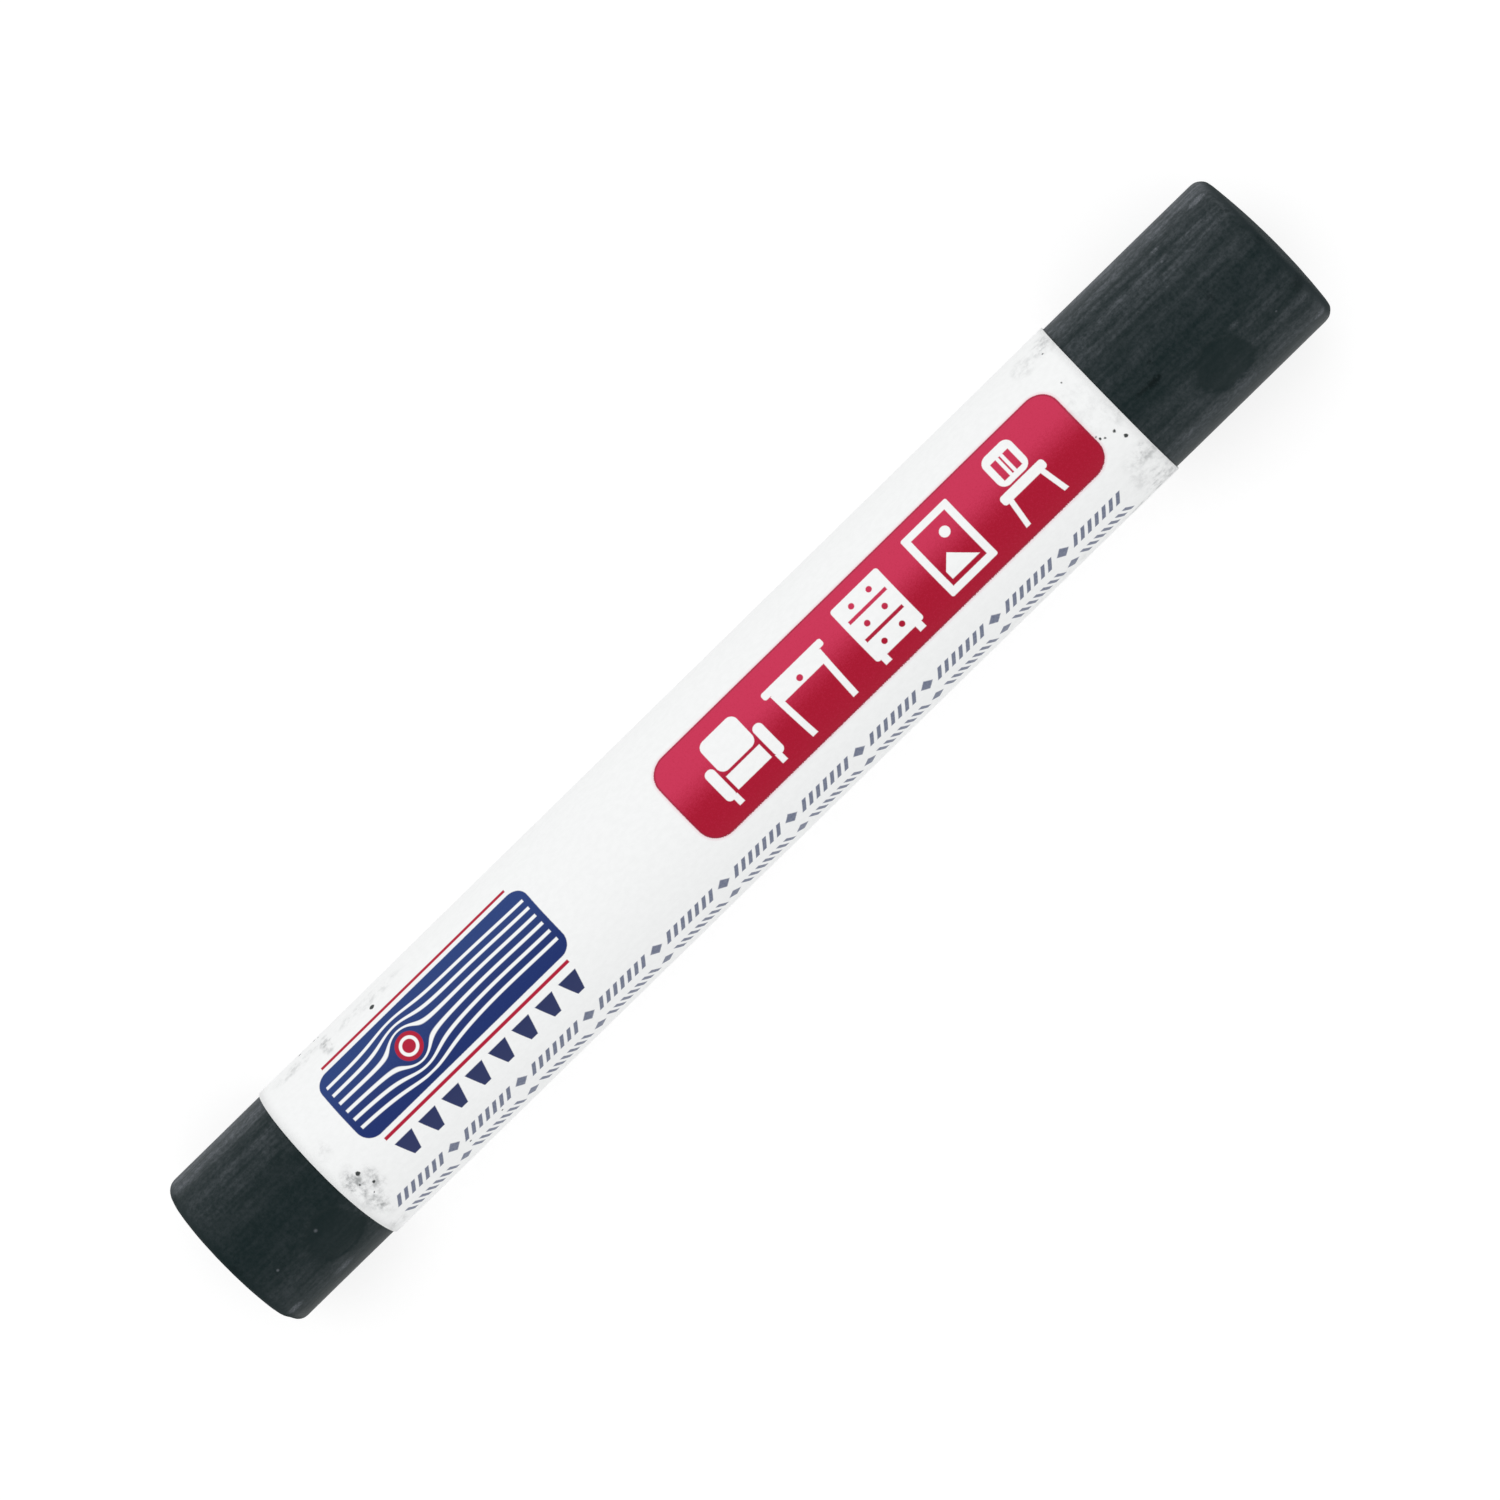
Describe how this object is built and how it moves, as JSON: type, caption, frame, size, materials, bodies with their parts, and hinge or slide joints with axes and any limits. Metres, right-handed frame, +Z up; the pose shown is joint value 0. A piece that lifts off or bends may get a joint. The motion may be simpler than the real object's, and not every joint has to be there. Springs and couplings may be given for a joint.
{
  "type": "furniture repair wax stick",
  "caption": "Round stick of dark filler wax for mending furniture, with slightly crowned ends, wrapped round its middle in a glued and lapped paper label.",
  "frame": {"origin": "on the surface that the stick lies on, under the middle of its length and under its axis", "axes": "+X along the stick towards its longer bare end, +Z up through the printed side, +Y towards the side that the label's seam is on"},
  "size_m": [0.0852, 0.0114, 0.0115],
  "materials": {
    "wax": "hard wax, dark slate grey, satin with a dusty bloom",
    "label_paper": "white coated paper, slight gloss",
    "adhesive": "dried clear label adhesive"
  },
  "bodies": {
    "root": {"wax_stick": "wax", "label_adhesive": "adhesive", "paper_label": "label_paper"}
  },
  "joints": []
}
